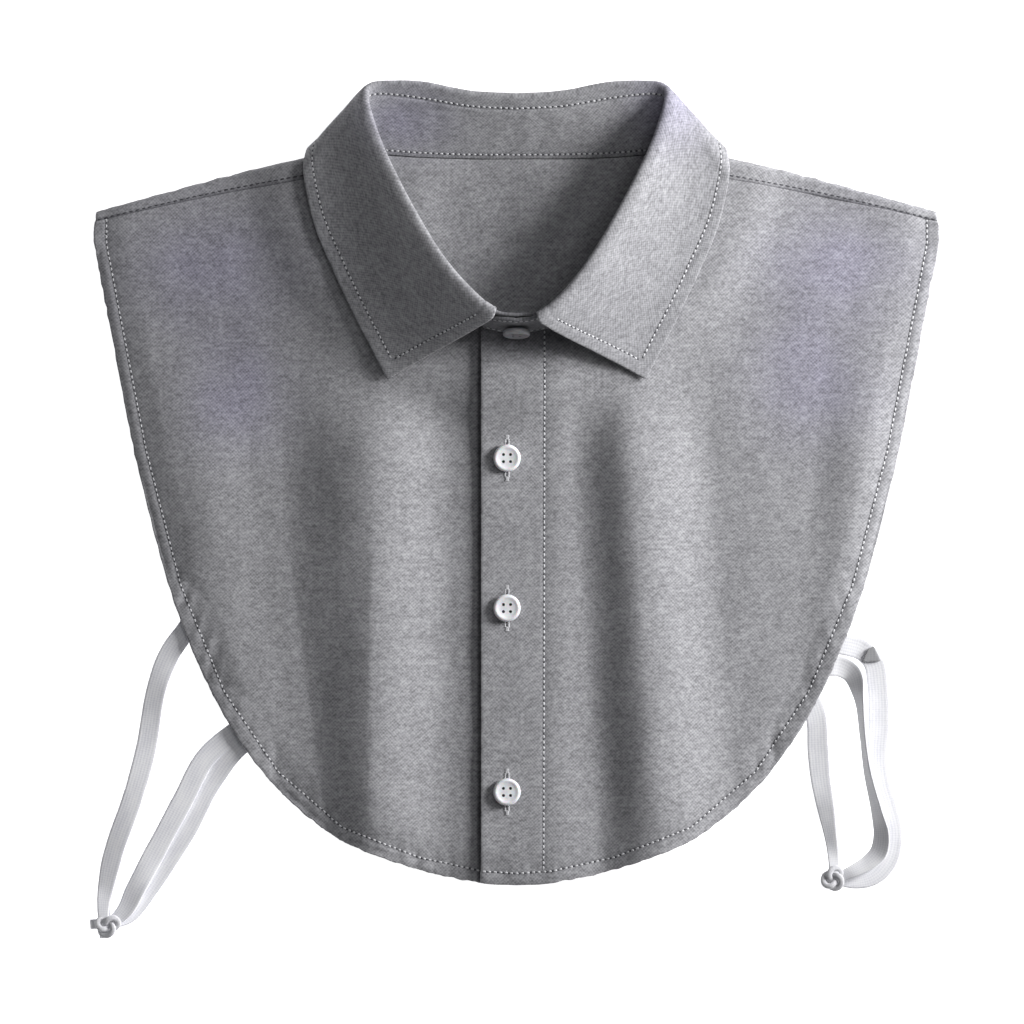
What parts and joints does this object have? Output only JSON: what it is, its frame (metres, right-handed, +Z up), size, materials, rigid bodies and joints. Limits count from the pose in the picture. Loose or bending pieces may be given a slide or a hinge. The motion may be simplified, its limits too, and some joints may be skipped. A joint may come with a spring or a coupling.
{
  "type": "bib shirt collar",
  "caption": "Detachable buttoned shirt collar on a short bib front and back, with elastic side tapes, laid flat.",
  "frame": {"origin": "middle of the bounding box's base, on the surface that the collar lies on", "axes": "+Z up from that surface, towards the front of the bib, +Y from the hem towards the back of the neck, +X to the wearer's left"},
  "size_m": [0.3404, 0.3434, 0.0406],
  "materials": {
    "cloth": "matte",
    "pearl": "gloss",
    "elastic": "matte"
  },
  "bodies": {
    "root": {"front_under": "cloth", "front_over": "cloth", "placket": "cloth", "back_panel": "cloth", "collar_stand": "cloth", "collar_leaf": "cloth", "button_1": "pearl", "button_2": "pearl", "button_3": "pearl", "button_neck": "pearl", "strap_tab_left": "elastic", "strap_loop_left": "elastic", "strap_tab_right": "elastic", "strap_loop_right": "elastic"}
  },
  "joints": []
}
